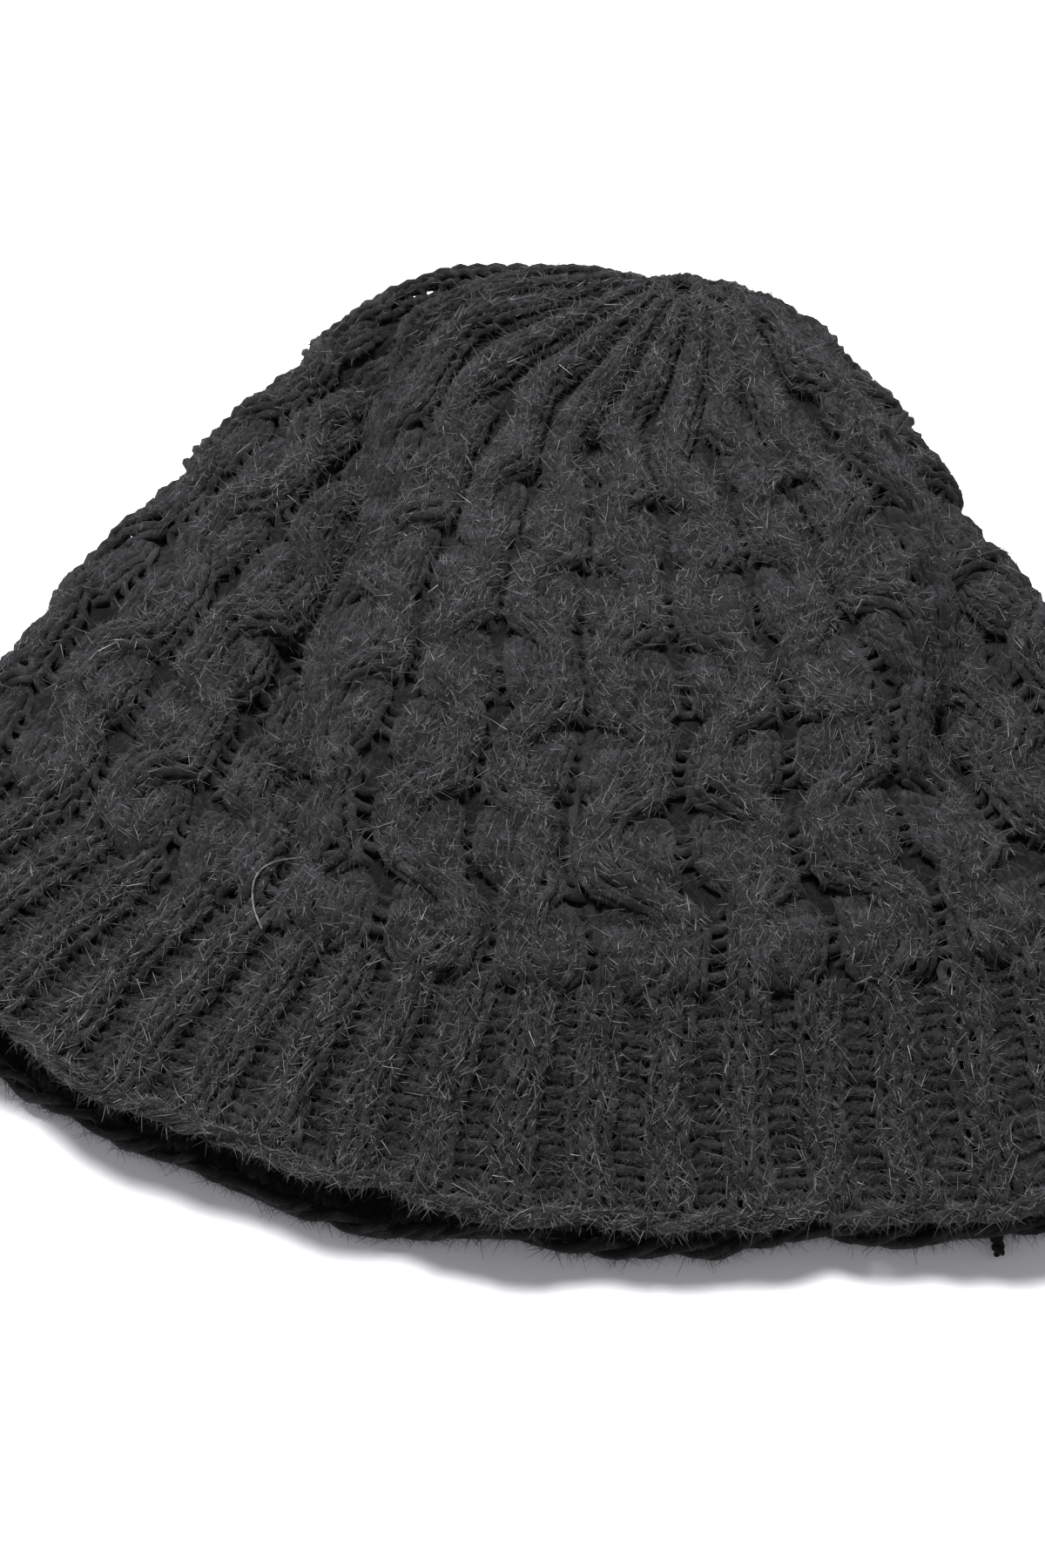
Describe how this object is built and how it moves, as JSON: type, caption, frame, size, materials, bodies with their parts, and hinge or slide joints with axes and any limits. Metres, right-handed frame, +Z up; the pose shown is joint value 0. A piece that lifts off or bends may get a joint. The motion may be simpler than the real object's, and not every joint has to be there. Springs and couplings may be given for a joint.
{
  "type": "knit beanie",
  "caption": "Soft knitted beanie lying flat, with a ribbed band, a cabled body and a gathered crown; the mouth opens.",
  "frame": {"origin": "centre of the footprint, on the surface that the beanie lies on", "axes": "+X across the beanie from side fold to side fold, +Y from the brim to the crown, +Z up"},
  "size_m": [0.262, 0.243, 0.04],
  "materials": {
    "rib_knit": "brushed charcoal wool, two by two rib",
    "cable_knit": "brushed charcoal wool, honeycomb cables",
    "crown_knit": "brushed charcoal wool, gathered",
    "cast_on_edge": "brushed charcoal wool, rolled edge",
    "loose_yarn": "twisted charcoal wool yarn"
  },
  "bodies": {
    "back_half": {"cast_on_edge_back": "cast_on_edge", "rib_band_back": "rib_knit", "cable_body_back": "cable_knit", "crown_back": "crown_knit", "brim_yarn_tail": "loose_yarn"},
    "front_half": {"cast_on_edge_front": "cast_on_edge", "rib_band_front": "rib_knit", "cable_body_front": "cable_knit", "crown_front": "crown_knit", "crown_gather_yarn": "loose_yarn", "crown_yarn_tail": "loose_yarn"}
  },
  "joints": [
    {"name": "mouth_opening", "type": "hinge", "parent": "back_half", "child": "front_half", "pos_m": [0, 0.1225, 0.015], "axis": [-1, 0, 0], "range_deg": [0, 8]}
  ]
}
